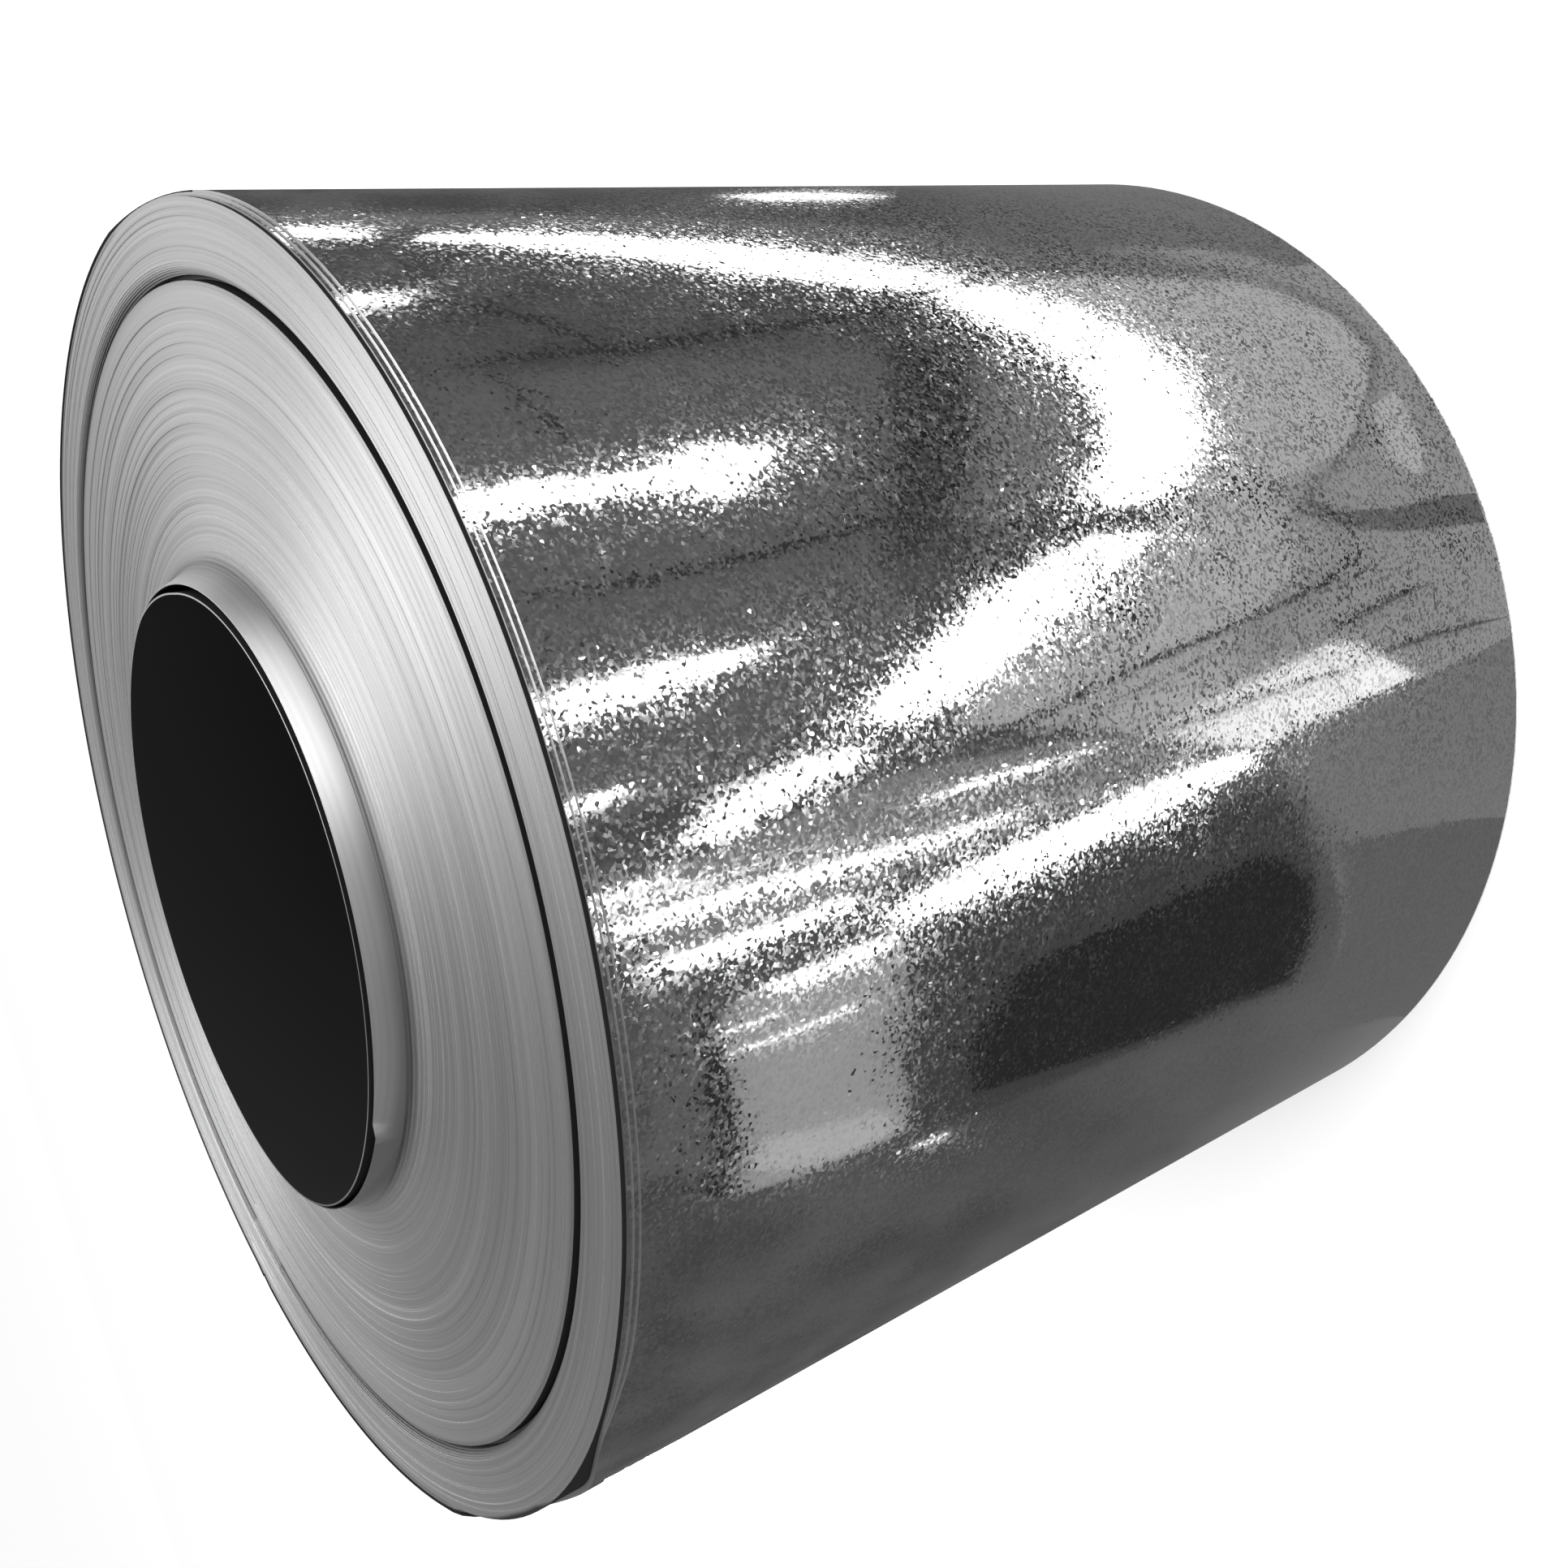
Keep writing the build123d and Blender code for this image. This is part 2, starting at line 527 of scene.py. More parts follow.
def spread(tree, value, start, end, low=0.0, high=1.0, soft=False):
    """Maps start to low and end to high, and stays there beyond them."""
    node = tree.nodes.new("ShaderNodeMapRange")
    if soft:
        node.interpolation_type = "SMOOTHSTEP"
    for name, number in (
        ("From Min", start), ("From Max", end), ("To Min", low), ("To Max", high),
    ):
        node.inputs[name].default_value = number
    tree.links.new(value, node.inputs["Value"])
    return node.outputs["Result"]


def noise(tree, where, scale, detail, roughness=0.5):
    node = tree.nodes.new("ShaderNodeTexNoise")
    node.inputs["Scale"].default_value = scale
    node.inputs["Detail"].default_value = detail
    node.inputs["Roughness"].default_value = roughness
    tree.links.new(where, node.inputs["Vector"])
    return node


def object_place(tree):
    """The place on the object, as a vector."""
    return tree.nodes.new("ShaderNodeTexCoord").outputs["Object"]


def split_place(tree, place):
    node = tree.nodes.new("ShaderNodeSeparateXYZ")
    tree.links.new(place, node.inputs["Vector"])
    return node.outputs


def spangle_group():
    """Zinc flakes: each has its own tilt and its own brightness, and they lie in patches."""
    group = bpy.data.node_groups.new("zinc_spangle", "ShaderNodeTree")
    for name, way, kind in (
        ("Flake Size", "INPUT", "Float"), ("Tilt", "INPUT", "Float"),
        ("Normal", "OUTPUT", "Vector"), ("Flake", "OUTPUT", "Float"),
        ("Patch", "OUTPUT", "Float"),
    ):
        group.interface.new_socket(name, in_out=way, socket_type="NodeSocket" + kind)
    nodes, links = group.nodes, group.links
    given = nodes.new("NodeGroupInput").outputs
    out = nodes.new("NodeGroupOutput").inputs
    place = object_place(group)

    warp = noise(group, place, *WARP_NOISE)
    shift = vector_calc(group, "SUBTRACT", warp.outputs["Color"], MIDDLE_GREY)
    shift = vector_calc(group, "SCALE", shift, scale=FLAKE_WARP)
    flakes = nodes.new("ShaderNodeTexVoronoi")
    links.new(vector_calc(group, "ADD", place, shift), flakes.inputs["Vector"])
    links.new(calc(group, "DIVIDE", 1.0, given["Flake Size"]), flakes.inputs["Scale"])
    lean = vector_calc(group, "SUBTRACT", flakes.outputs["Color"], MIDDLE_GREY)
    strong = calc(group, "POWER", vector_calc(group, "LENGTH", lean), TILT_POWER)

    cloudy = noise(group, place, *PATCH_NOISE)
    patch = spread(group, cloudy.outputs["Fac"], *PATCH_RANGE, *PATCHES)
    tilt = calc(group, "MULTIPLY", given["Tilt"], strong)
    tilt = calc(group, "MULTIPLY", tilt, patch)
    lean = vector_calc(group, "SCALE", lean, scale=tilt)
    straight = nodes.new("ShaderNodeNewGeometry").outputs["Normal"]
    tipped = vector_calc(group, "ADD", straight, lean)
    links.new(vector_calc(group, "NORMALIZE", tipped), out["Normal"])
    split = nodes.new("ShaderNodeSeparateColor")
    links.new(flakes.outputs["Color"], split.inputs["Color"])
    links.new(split.outputs["Red"], out["Flake"])
    links.new(patch, out["Patch"])
    return group


def speckled_part(tree):
    """From 0 where the zinc is even to 1 where it is speckled all over."""
    place = split_place(tree, object_place(tree))
    speckled = 1.0
    for axis, start, end, least in SPECKLED:
        part = spread(tree, place[axis], start, end, low=least, soft=True)
        speckled = calc(tree, "MULTIPLY", part, speckled)
    return speckled


def galvanised_side():
    """Bright zinc, mirroring but for its flakes."""
    material, tree, shader = new_material("galvanised_side", 0.7, 1.0, 0.16)
    spangle = tree.nodes.new("ShaderNodeGroup")
    spangle.node_tree = spangle_group()
    spangle.inputs["Flake Size"].default_value = FLAKE_SIZE
    tree.links.new(spangle.outputs["Normal"], shader.inputs["Normal"])
    flake, patch = spangle.outputs["Flake"], spangle.outputs["Patch"]
    speckled = speckled_part(tree)
    tilt = calc(tree, "MULTIPLY_ADD", speckled, SPECKLE_TILT, FLAKE_TILT)
    tree.links.new(tilt, spangle.inputs["Tilt"])

    dull = spread(tree, flake, *DULL_FLAKES, high=DULLEST)
    dull = calc(tree, "MULTIPLY", dull, speckled)
    dull = calc(tree, "MULTIPLY", dull, speckled)
    dull = calc(tree, "MULTIPLY", dull, patch, clamp=True)
    bright = calc(tree, "SUBTRACT", 1.0, dull)
    tone = spread(tree, flake, 0, 1, *FLAKE_TONES)
    tree.links.new(calc(tree, "MULTIPLY", bright, tone), shader.inputs["Base Color"])

    patchy = calc(tree, "MULTIPLY_ADD", patch, PATCH_FROST, -PATCH_FROST)
    frosted = calc(tree, "ADD", flake, patchy)
    gloss = spread(tree, frosted, *FROSTED, *ROUGHNESSES)
    tree.links.new(gloss, shader.inputs["Roughness"])
    return material


def rim_shade(tree, place, radius):
    """The last turns lie in shade where the wraps round them come level again."""
    parts = split_place(tree, place)
    backwards = calc(tree, "MULTIPLY", parts["Y"], -1.0)
    clock = calc(tree, "ARCTAN2", backwards, parts["X"])
    width = RIM_SHADE_WIDTH
    for start, end in RIM_SHADE_CLOCK:
        part = spread(tree, clock, math.radians(start), math.radians(end))
        width = calc(tree, "MULTIPLY", part, width)
    inside = calc(tree, "SUBTRACT", RIM_SHADE_EDGE, radius)
    dark = calc(tree, "SUBTRACT", width, inside)
    dark = calc(tree, "DIVIDE", dark, RIM_SHADE_SOFT, clamp=True)
    dark = calc(tree, "MULTIPLY", dark, spread(tree, parts["Z"], *RIM_SHADE_HEIGHT))
    return calc(tree, "MULTIPLY_ADD", dark, -RIM_SHADE, 1.0)


def turn_edges():
    """Slit edges of the turns: bright rings of slightly different tone, brushed round, darkened
    by painted shade at the collar's foot, beside the groove and at part of the rim.
    """
    material, tree, shader = new_material("turn_edges", 0.7, 1.0, 0.5)
    place = object_place(tree)
    flat = vector_calc(tree, "MULTIPLY", place, (1, 1, 0))
    radius = vector_calc(tree, "LENGTH", flat)
    outward = vector_calc(tree, "NORMALIZE", flat)
    tree.links.new(outward, shader.inputs["Tangent"])
    shader.inputs["Anisotropic"].default_value = BRUSHED

    tone = EDGE_TONE
    for pace, detail, amount in RING_NOISE:
        along = tree.nodes.new("ShaderNodeCombineXYZ")
        tree.links.new(calc(tree, "MULTIPLY", radius, pace), along.inputs["X"])
        slow = vector_calc(tree, "SCALE", outward, scale=RING_DRIFT)
        where = vector_calc(tree, "ADD", along.outputs["Vector"], slow)
        rings = noise(tree, where, 1, detail)
        part = calc(tree, "SUBTRACT", rings.outputs["Fac"], 0.5)
        tone = calc(tree, "MULTIPLY_ADD", part, amount, tone)
    # Painted shade: the tone darkens in soft rings at the collar's foot and beside the groove
    for middle, half_width in PAINTED_SHADE_RINGS:
        away = calc(tree, "SUBTRACT", radius, middle)
        away = calc(tree, "DIVIDE", away, half_width)
        away = calc(tree, "MULTIPLY", away, away)
        near = calc(tree, "EXPONENT", calc(tree, "MULTIPLY", away, -1.0))
        shade = calc(tree, "MULTIPLY_ADD", near, -PAINTED_RING_SHADE, 1.0)
        tone = calc(tree, "MULTIPLY", tone, shade)
    tone = calc(tree, "MULTIPLY", tone, rim_shade(tree, place, radius))
    tree.links.new(tone, shader.inputs["Base Color"])
    return material


def painted_shade_finish(name, base):
    """Painted shade: a dull, plain dark colour for the bore and the gaps between turns, where
    little light comes.
    """
    material, tree, shader = new_material(name, base, 0.0, DULL_ROUGHNESS)
    shader.inputs["Specular IOR Level"].default_value = DULL_SPECULAR
    return material


coil = wind_coil()
# The last two finishes are painted shade: near black for the bore and gaps, grey for the slot
for finish in (
    galvanised_side(), turn_edges(), painted_shade_finish("painted_shade_black", 0.012), painted_shade_finish("painted_shade_grey", 0.13),
):
    coil.data.materials.append(finish)
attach(coil, "root")
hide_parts("steel_coil")


# Strip lamps and dark boards lie on the floor round the coil, where its side mirrors them.
# Only what reflects sees them.
CARD_HEIGHT = 0.003
CARD_STEP = 0.0001            # each card lies on the ones before it
CARDS = (
    ("low_board", 0.15, ((2.509, 0.123), (2.058, 0.018), (1.698, -0.065), (1.405, -0.131),
        (1.163, -0.192), (1.160, -0.402), (1.137, -0.575), (1.092, -0.794), (1.011, -0.943),
        (0.877, -1.063), (0.806, -1.347), (0.782, -1.752), (0.847, -2.031), (0.941, -2.354),
        (1.572, -2.044), (2.113, -1.525), (2.449, -0.815), (2.523, -0.338))),
    ("pale_board", 0.52, ((0.911, -0.029), (0.764, -0.114), (0.623, -0.211), (0.518, -0.271),
        (0.425, -0.326), (0.368, -0.388), (0.285, -0.453), (0.210, -0.492), (0.181, -0.503),
        (0.172, -0.637), (0.277, -0.687), (0.269, -0.982), (0.455, -1.168), (0.538, -1.251),
        (0.620, -1.053), (0.626, -0.809), (0.612, -0.683), (0.640, -0.536), (0.669, -0.442),
        (0.707, -0.340), (0.753, -0.254), (0.824, -0.156))),
    ("right_board", 0.23, ((0.172, -0.647), (0.195, -0.576), (0.181, -0.504), (0.087, -0.528),
        (-0.001, -0.535), (-0.107, -0.524), (-0.217, -0.489), (-0.400, -0.542), (-0.278, -0.639),
        (-0.086, -0.747), (0.075, -0.815), (0.144, -0.844), (0.165, -0.745))),
    ("right_foot", 0.15, ((-0.057, -0.748), (-0.044, -0.692), (0.010, -0.535), (-0.001, -0.535),
        (-0.107, -0.524), (-0.217, -0.489), (-0.400, -0.542), (-0.278, -0.639))),
    ("grey_board", 0.28, ((0.578, -2.466), (0.533, -2.037), (0.497, -1.461), (0.290, -0.995),
        (0.142, -0.839), (0.141, -1.186), (0.114, -1.546), (0.043, -2.306), (0.303, -2.470))),
    ("left_board", 0.15, ((0.018, -2.417), (-0.031, -2.190), (-0.268, -2.158), (-1.204, -1.879),
        (-1.218, -2.242))),
    ("lit_board", 0.42, ((-1.307, -1.681), (-0.742, -1.977), (-0.374, -2.093), (-0.240, -2.040),
        (-0.184, -1.791), (-0.146, -1.545), (-0.240, -1.497), (-0.599, -1.431), (-0.915, -1.243),
        (-1.140, -1.453))),
    ("lit_board_foot", 0.58, ((-1.154, -1.700), (-1.023, -1.791), (-0.839, -1.380),
        (-0.908, -1.267), (-1.121, -1.469))),
    ("dark_edge", 0.03, ((-0.097, -2.197), (-0.374, -2.093), (-0.788, -1.954), (-1.307, -1.681),
        (-1.325, -1.827), (-0.728, -2.102), (-0.349, -2.187))),
    ("dark_board", 0.07, ((-0.906, -1.259), (-0.598, -1.456), (-0.262, -1.532), (-0.129, -1.504),
        (-0.039, -1.203), (0.028, -0.986), (0.074, -0.849), (0.010, -0.806), (-0.101, -0.766),
        (-0.249, -0.702), (-0.320, -0.679), (-0.543, -0.842), (-0.859, -1.106))),
    ("darkest_board", 0.029, ((-0.751, -1.143), (-0.573, -1.276), (-0.297, -1.238),
        (-0.169, -1.009), (-0.063, -0.845), (-0.116, -0.771), (-0.251, -0.708), (-0.314, -0.692),
        (-0.527, -0.858))),
    ("top_board", 0.18, ((1.656, 2.242), (1.285, 1.264), (1.011, 0.577), (0.810, 0.105),
        (0.753, -0.095), (0.923, 0.006), (1.098, 0.385), (1.342, 0.899), (1.687, 1.586),
        (1.847, 2.093))),
    ("pale_right", 0.36, ((0.517, -0.565), (0.465, -0.494), (0.413, -0.477), (0.325, -0.425),
        (0.285, -0.453), (0.210, -0.492), (0.181, -0.503), (0.172, -0.637), (0.277, -0.687),
        (0.295, -0.858), (0.377, -0.783), (0.401, -0.654))),
    ("far_board", 0.36, ((0.705, -0.068), (0.566, -0.232), (0.479, -0.318), (0.443, -0.362),
        (0.445, -0.456), (0.464, -0.569), (0.387, -0.523), (0.294, -0.447), (0.322, -0.427),
        (0.348, -0.406), (0.384, -0.373), (0.405, -0.350), (0.426, -0.324), (0.462, -0.269),
        (0.519, -0.248), (0.596, -0.163))),
    ("arc_beam", 0.27, ((0.711, -0.075), (0.647, -0.163), (0.573, -0.243), (0.483, -0.325),
        (0.453, -0.364), (0.452, -0.405), (0.451, -0.454), (0.471, -0.566), (0.458, -0.571),
        (0.438, -0.459), (0.439, -0.407), (0.441, -0.360), (0.476, -0.316), (0.565, -0.232),
        (0.638, -0.151), (0.701, -0.064))),
    ("pale_spot", 0.56, ((0.442, -0.424), (0.420, -0.403), (0.369, -0.460), (0.362, -0.481),
        (0.396, -0.481))),
    ("dark_beam_1", 0.09, ((0.434, -1.230), (0.415, -0.927), (0.377, -0.754), (0.350, -0.644),
        (0.353, -0.576), (0.360, -0.641), (0.389, -0.750), (0.432, -0.922), (0.457, -1.225))),
    ("dark_beam_2", 0.09, ((0.286, -0.680), (0.279, -0.606), (0.267, -0.558), (0.287, -0.604),
        (0.296, -0.678))),
    ("dark_beam_3", 0.16, ((0.224, -0.660), (0.210, -0.587), (0.195, -0.518), (0.218, -0.585),
        (0.233, -0.658))),
    ("dark_beam_4", 0.17, ((0.462, -0.586), (0.395, -0.577), (0.344, -0.548), (0.306, -0.512),
        (0.278, -0.482), (0.297, -0.463), (0.330, -0.489), (0.365, -0.526), (0.407, -0.555),
        (0.471, -0.559))),
    ("dark_beam_5", 0.22, ((0.385, -1.134), (0.363, -0.846), (0.335, -0.708), (0.371, -0.844),
        (0.396, -1.132))),
    ("dark_beam_6", 0.05, ((2.128, 0.646), (1.919, 0.325), (1.819, 0.026), (1.549, -0.005),
        (1.256, -0.041), (1.024, -0.047), (1.014, -0.018), (1.244, 0.002), (1.532, 0.056),
        (1.785, 0.111), (1.879, 0.382), (2.083, 0.704))),
    ("dark_beam_7", 0.05, ((2.344, 0.165), (2.087, 0.122), (1.811, 0.039), (1.794, 0.098),
        (2.071, 0.179), (2.331, 0.216))),
    ("dark_beam_8", 0.045, ((2.232, 0.073), (2.136, -0.218), (2.005, -0.471), (1.975, -0.415),
        (2.101, -0.168), (2.199, 0.111))),
    ("dark_beam_9", 0.05, ((1.962, -1.377), (1.625, -1.219), (1.355, -1.034), (1.183, -0.895),
        (1.082, -0.814), (1.096, -0.789), (1.202, -0.863), (1.381, -0.992), (1.650, -1.176),
        (1.984, -1.334))),
    ("shade_board", 0.065, ((1.150, -0.173), (1.057, -0.222), (1.021, -0.421), (0.990, -0.621),
        (0.961, -0.845), (1.028, -0.949), (1.120, -0.686), (1.152, -0.404))),
    ("mixed_board", 0.22, ((0.979, -0.207), (0.921, -0.267), (0.864, -0.372), (0.799, -0.479),
        (0.781, -0.556), (0.785, -0.658), (0.850, -0.763), (0.940, -0.762), (0.968, -0.619),
        (0.992, -0.424))),
    ("window", 1.3, ((0.269, -0.982), (0.280, -0.865), (0.275, -0.688), (0.178, -0.635),
        (0.168, -0.744), (0.149, -0.843), (0.204, -0.919))),
    ("window_bar_1", 0.2, ((0.254, -0.965), (0.239, -0.807), (0.218, -0.657), (0.253, -0.805),
        (0.271, -0.963))),
    ("window_bar_2", 0.25, ((0.277, -0.724), (0.164, -0.721), (0.278, -0.713))),
    ("far_strip", 6, ((1.931, 2.102), (1.819, 1.793), (1.743, 1.550), (1.838, 1.507),
        (1.951, 1.705), (2.088, 1.976))),
    ("long_strip", 6, ((1.687, 1.342), (1.518, 1.120), (1.384, 0.867), (1.249, 0.604),
        (1.124, 0.359), (0.999, 0.109), (0.928, -0.016), (0.964, -0.038), (1.108, 0.088),
        (1.277, 0.327), (1.379, 0.538), (1.482, 0.783), (1.604, 1.053), (1.730, 1.265))),
    ("top_strip", 2.0, ((0.791, 0.722), (0.712, 0.585), (0.689, 0.465), (0.699, 0.336),
        (0.769, 0.438), (0.822, 0.568))),
    ("bent_strip", 6.5, ((0.994, -0.033), (0.920, -0.046), (0.863, -0.116), (0.799, -0.197),
        (0.736, -0.291), (0.680, -0.383), (0.641, -0.473), (0.623, -0.552), (0.628, -0.620),
        (0.705, -0.665), (0.762, -0.636), (0.759, -0.557), (0.773, -0.479), (0.804, -0.404),
        (0.850, -0.314), (0.910, -0.212), (0.966, -0.116))),
    ("edge_strip", 5, ((1.057, -2.315), (1.021, -2.187), (0.986, -2.049), (1.018, -2.034),
        (1.086, -2.160), (1.130, -2.287))),
    ("small_strip", 5, ((2.614, 0.991), (2.450, 0.891), (2.275, 0.803), (2.228, 0.872),
        (2.368, 1.011), (2.527, 1.118))),
    ("middle_strip", 6, ((2.509, -0.769), (2.153, -0.686), (1.891, -0.671), (1.739, -0.632),
        (1.628, -0.525), (1.519, -0.512), (1.403, -0.556), (1.430, -0.655), (1.453, -0.733),
        (1.516, -0.766), (1.605, -0.725), (1.727, -0.723), (1.986, -0.808), (2.289, -0.931),
        (2.427, -0.984))),
    ("short_strip", 5.5, ((1.690, -1.956), (1.467, -1.657), (1.285, -1.448), (1.136, -1.314),
        (1.123, -1.376), (1.213, -1.536), (1.310, -1.712), (1.451, -1.922), (1.531, -2.064))),
    ("wide_strip", 6.5, ((0.613, -0.693), (0.705, -0.742), (0.741, -0.834), (0.774, -0.935),
        (0.766, -1.112), (0.734, -1.283), (0.711, -1.385), (0.632, -1.326), (0.593, -1.195),
        (0.609, -1.053), (0.618, -0.927), (0.617, -0.811))),
    ("lower_strip", 5, ((0.603, -2.011), (0.691, -1.867), (0.713, -1.709), (0.682, -1.542),
        (0.621, -1.422), (0.572, -1.465), (0.592, -1.596), (0.581, -1.756), (0.551, -1.910))),
    ("wedge_strip", 3.0, ((0.551, -2.469), (0.544, -2.260), (0.523, -2.103), (0.489, -2.111),
        (0.464, -2.258), (0.458, -2.456))),
    ("hair_strip_1", 4.0, ((0.455, -2.454), (0.400, -2.088), (0.345, -1.624), (0.417, -2.085),
        (0.479, -2.451))),
    ("hair_strip_2", 5.5, ((0.352, -1.421), (0.311, -1.216), (0.279, -1.044), (0.326, -1.214),
        (0.361, -1.419))),
    ("second_strip", 4.5, ((0.296, -2.463), (0.238, -1.987), (0.191, -1.527), (0.184, -1.340),
        (0.204, -1.186), (0.209, -1.339), (0.235, -1.524), (0.311, -1.981), (0.384, -2.454))),
    ("third_strip", 5.0, ((0.007, -2.319), (0.009, -1.950), (0.046, -1.646), (0.094, -1.650),
        (0.081, -1.954), (0.092, -2.322))),
    ("front_strip", 5.0, ((-0.072, -1.546), (-0.029, -1.358), (0.042, -1.113), (0.088, -0.960),
        (0.124, -0.857), (0.154, -0.860), (0.149, -0.967), (0.124, -1.124), (0.067, -1.376),
        (-0.008, -1.560))),
    ("fourth_strip", 4.0, ((-0.251, -1.909), (-0.204, -1.710), (-0.139, -1.559), (-0.094, -1.572),
        (-0.139, -1.728), (-0.195, -1.924))),
    ("fifth_strip", 2.2, ((-0.431, -2.060), (-0.391, -1.972), (-0.354, -1.875), (-0.334, -1.882),
        (-0.366, -1.981), (-0.400, -2.072))),
    ("sixth_strip", 2.0, ((-0.539, -2.026), (-0.449, -1.788), (-0.360, -1.585), (-0.339, -1.594),
        (-0.426, -1.798), (-0.513, -2.036))),
    ("floor_dash", 2.0, ((-0.990, -1.160), (-0.942, -1.116), (-0.901, -1.087), (-0.889, -1.105),
        (-0.929, -1.135), (-0.977, -1.179))),
)

# Some of them lie again behind the coil, turned round its axis
LAID_BEHIND = (
    "pale_board", "pale_right", "window", "window_bar_1", "window_bar_2", "bent_strip",
    "middle_strip", "short_strip", "wide_strip", "lower_strip",
)
TURN_BEHIND = math.radians(175)

# The cloth under the cards, paler close to the coil
CLOTH_RADIUS = 9
CLOTH_HEIGHT = 0.002
CLOTH_GAP = 0.003              # between the coil and the edge of the hole for it
CLOTH_GREYS = (0.08, 0.13)
CLOTH_NEAR = 0.09              # added next to the coil
CLOTH_FADE = 0.20
BLOTCH_NOISE = (2.2, 3)
BLOTCH_RANGE = (0.35, 0.65)    # of the noise
ROUND_CORNERS = 96             # of the cloth and the screen

FLOOR_SIZE = 60
FLOOR_TONE = 0.97
FLOOR_ROUGHNESS = 0.9

# Dark cloths hang round the studio and over it, with a pale panel on the far side
SCREEN_RADIUS = 6.0
SCREEN_HEIGHT = 5.0
SCREEN_GLOW = 0.30
CEILINGS = (                   # name, strength, corners
    ("dark_ceiling", 0.22, ((-6, -6), (-1, -6), (-1, 6), (-6, 6))),
    ("grey_ceiling", 0.45, ((-1, -6), (6, -6), (6, 6), (-1, 6))),
)
PANEL_WIDTH = 5.0
PANEL_PLACE = (0.6, 5.3, SCREEN_HEIGHT / 2)
PANEL_GLOW = 0.85

SOFTBOX = {"place": (2.6, 0.0, 4.1), "aim": (0, 0, 1.0), "size": (4.8, 3.4), "energy": 160}
FLOOR_FILL = {
    "place": (-2.2, -2.6, 3.4), "aim": (-0.6, -0.8, 0), "size": (3.0, 3.0), "energy": 70,
}

CAMERA_PLACE = Vector((0.6062, -1.2214, 1.4266))
CAMERA_AIM = Vector((-0.0424, 0.0, 0.4543))
CAMERA_UP = Vector((0.92327, 0.31285, -0.22294))
CAMERA_LENS = 36.18
CAMERA_SENSOR = 36


def glow_material(name, strength):
    """A glowing material, with its node tree and the glow."""
    material = bpy.data.materials.new(name)
    material.use_nodes = True
    tree = material.node_tree
    tree.nodes.remove(tree.nodes["Principled BSDF"])
    glow = tree.nodes.new("ShaderNodeEmission")
    glow.inputs["Strength"].default_value = strength
    tree.links.new(glow.outputs["Emission"], tree.nodes["Material Output"].inputs["Surface"])
    return material, tree, glow


def only_mirrored(thing):
    """The coil mirrors it, and nothing else sees it."""
    thing.visible_camera = False
    thing.visible_diffuse = False
    thing.visible_shadow = False
    thing.visible_transmission = False
    thing.visible_volume_scatter = False


def lay_card(name, strength, corners, height):
    """A flat glowing card, from a round of corners."""
    deselect_all()
    bpy.ops.mesh.primitive_circle_add(vertices=len(corners), radius=1, fill_type="NGON")
    card = bpy.context.object
    card.name = card.data.name = name
    for vertex, (x, y) in zip(card.data.vertices, corners):
        vertex.co = (x, y, height)
    card.data.materials.append(glow_material(name, strength)[0])
    only_mirrored(card)


def lay_cards():
    """All cards, each a little higher than the ones before it."""
    turn_behind = Matrix.Rotation(TURN_BEHIND, 2)
    for number, (name, strength, corners) in enumerate(CARDS):
        height = CARD_HEIGHT + CARD_STEP * number
        lay_card(name, strength, corners, height)
        if name in LAID_BEHIND:
            turned = [turn_behind @ Vector(corner) for corner in corners]
            lay_card(name + "_behind", strength, turned, height)


def ground_cloth_material():
    material, tree, glow = glow_material("ground_cloth", 1.0)
    place = object_place(tree)
    near = calc(tree, "SUBTRACT", OUTER_RADIUS, vector_calc(tree, "LENGTH", place))
    near = calc(tree, "EXPONENT", calc(tree, "DIVIDE", near, CLOTH_FADE))
    blotch = noise(tree, place, *BLOTCH_NOISE)
    uneven = spread(tree, blotch.outputs["Fac"], *BLOTCH_RANGE, *CLOTH_GREYS)
    tone = calc(tree, "MULTIPLY_ADD", near, CLOTH_NEAR, uneven)
    tree.links.new(tone, glow.inputs["Color"])
    return material


def lay_ground_cloth():
    """A dark cloth of uneven grey under the cards, with a hole for the coil."""
    deselect_all()
    bpy.ops.mesh.primitive_circle_add(
        vertices=ROUND_CORNERS, radius=CLOTH_RADIUS, fill_type="NGON",
    )
    cloth = bpy.context.object
    cloth.name = cloth.data.name = "ground_cloth"
    bpy.ops.object.mode_set(mode="EDIT")
    bpy.ops.mesh.select_all(action="SELECT")
    bpy.ops.mesh.inset(thickness=CLOTH_RADIUS - OUTER_RADIUS - CLOTH_GAP)
    bpy.ops.mesh.delete(type="FACE")
    bpy.ops.mesh.select_all(action="SELECT")
    bpy.ops.transform.translate(value=(0, 0, CLOTH_HEIGHT))
    bpy.ops.object.mode_set(mode="OBJECT")
    cloth.data.materials.append(ground_cloth_material())
    only_mirrored(cloth)


def lay_floor():
    deselect_all()
    bpy.ops.mesh.primitive_plane_add(size=FLOOR_SIZE)
    floor = bpy.context.object
    floor.name = "floor"
    material, tree, shader = new_material("pale_floor", FLOOR_TONE, 0.0, FLOOR_ROUGHNESS)
    shader.inputs["Specular IOR Level"].default_value = DULL_SPECULAR
    floor.data.materials.append(material)


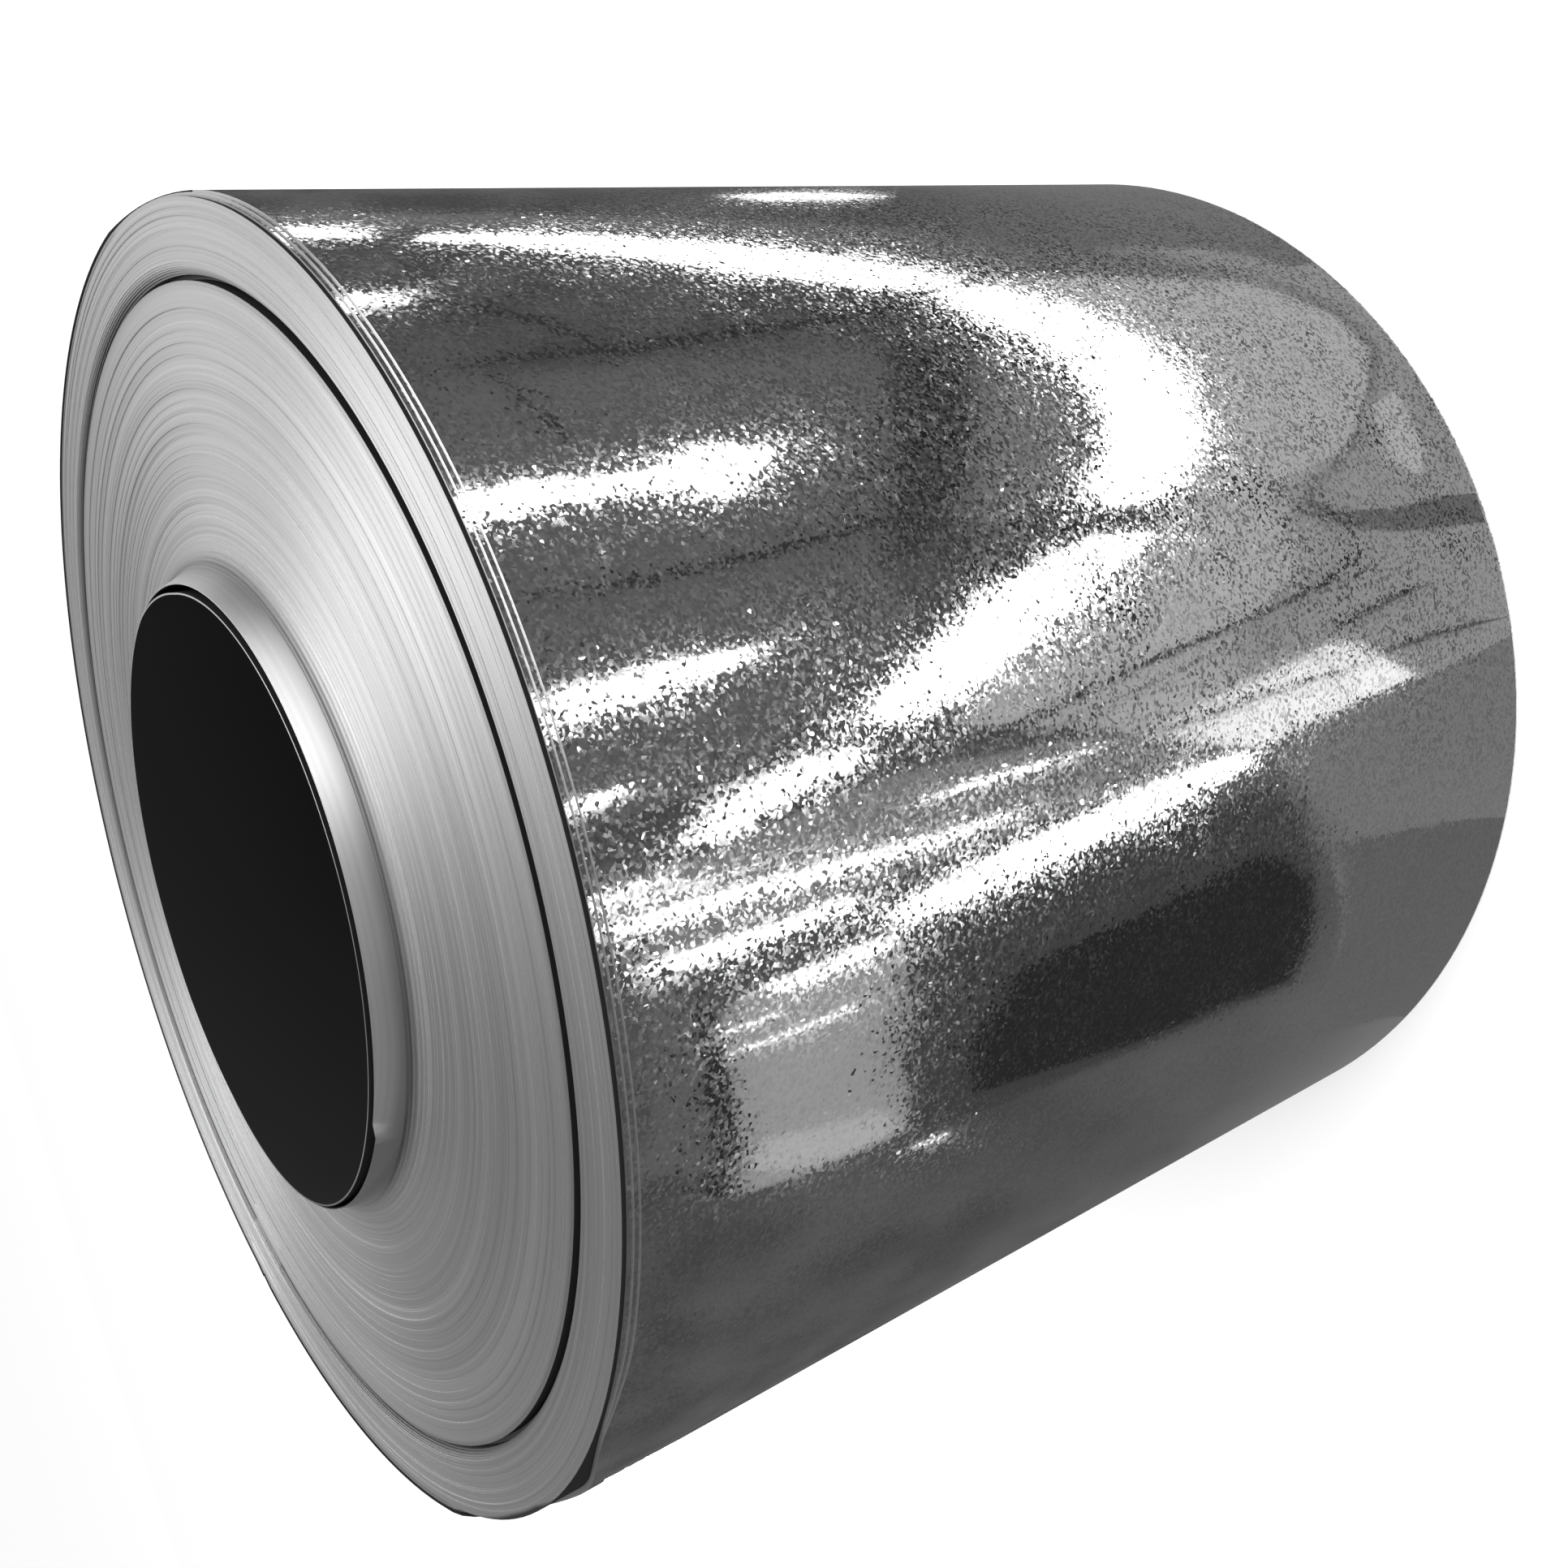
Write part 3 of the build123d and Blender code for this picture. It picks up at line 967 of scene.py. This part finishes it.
def hang_screens():
    """A dark screen all round, ceilings of two greys and a pale panel."""
    deselect_all()
    bpy.ops.mesh.primitive_cylinder_add(
        vertices=ROUND_CORNERS, radius=SCREEN_RADIUS, depth=SCREEN_HEIGHT,
        end_fill_type="NOTHING", location=(0, 0, SCREEN_HEIGHT / 2),
    )
    screen = bpy.context.object
    screen.name = "dark_screen"
    screen.data.materials.append(glow_material("dark_screen", SCREEN_GLOW)[0])
    only_mirrored(screen)
    for name, strength, corners in CEILINGS:
        lay_card(name, strength, corners, SCREEN_HEIGHT)
    deselect_all()
    bpy.ops.mesh.primitive_plane_add(size=1, rotation=(math.pi / 2, 0, 0))
    panel = bpy.context.object
    panel.name = "pale_panel"
    bpy.ops.transform.resize(value=(PANEL_WIDTH, 1, SCREEN_HEIGHT))
    bpy.ops.transform.translate(value=PANEL_PLACE)
    panel.data.materials.append(glow_material("pale_panel", PANEL_GLOW)[0])
    only_mirrored(panel)


def add_lamp(name, place, aim, size, energy):
    """A flat rectangular lamp that the camera does not see."""
    data = bpy.data.lights.new(name, "AREA")
    data.shape = "RECTANGLE"
    data.size, data.size_y = size
    data.energy = energy
    lamp = bpy.data.objects.new(name, data)
    lamp.location = place
    lamp.rotation_euler = (Vector(aim) - Vector(place)).to_track_quat("-Z", "Y").to_euler()
    bpy.context.scene.collection.objects.link(lamp)
    lamp.visible_camera = False
    return lamp


def light_world():
    """Even white light from all round."""
    world = bpy.context.scene.world or bpy.data.worlds.new("world")
    bpy.context.scene.world = world
    world.use_nodes = True
    sky = world.node_tree.nodes["Background"]
    sky.inputs["Color"].default_value = (1, 1, 1, 1)
    sky.inputs["Strength"].default_value = 1.0


def add_camera():
    """The photo's camera, rolled so that +X is the photo's up."""
    data = bpy.data.cameras.new("camera")
    data.lens = CAMERA_LENS
    data.sensor_width = CAMERA_SENSOR
    camera = bpy.data.objects.new("camera", data)
    bpy.context.scene.collection.objects.link(camera)
    forward = (CAMERA_AIM - CAMERA_PLACE).normalized()
    right = forward.cross(CAMERA_UP).normalized()
    up = right.cross(forward)
    turn = Matrix((right, up, -forward)).transposed()
    camera.matrix_world = Matrix.Translation(CAMERA_PLACE) @ turn.to_4x4()
    bpy.context.scene.camera = camera


add_camera()
lay_floor()
lay_ground_cloth()
lay_cards()
hang_screens()
add_lamp("softbox", **SOFTBOX)
fill = add_lamp("floor_fill", **FLOOR_FILL)
fill.visible_glossy = False
light_world()
bpy.context.scene.view_settings.view_transform = "Standard"
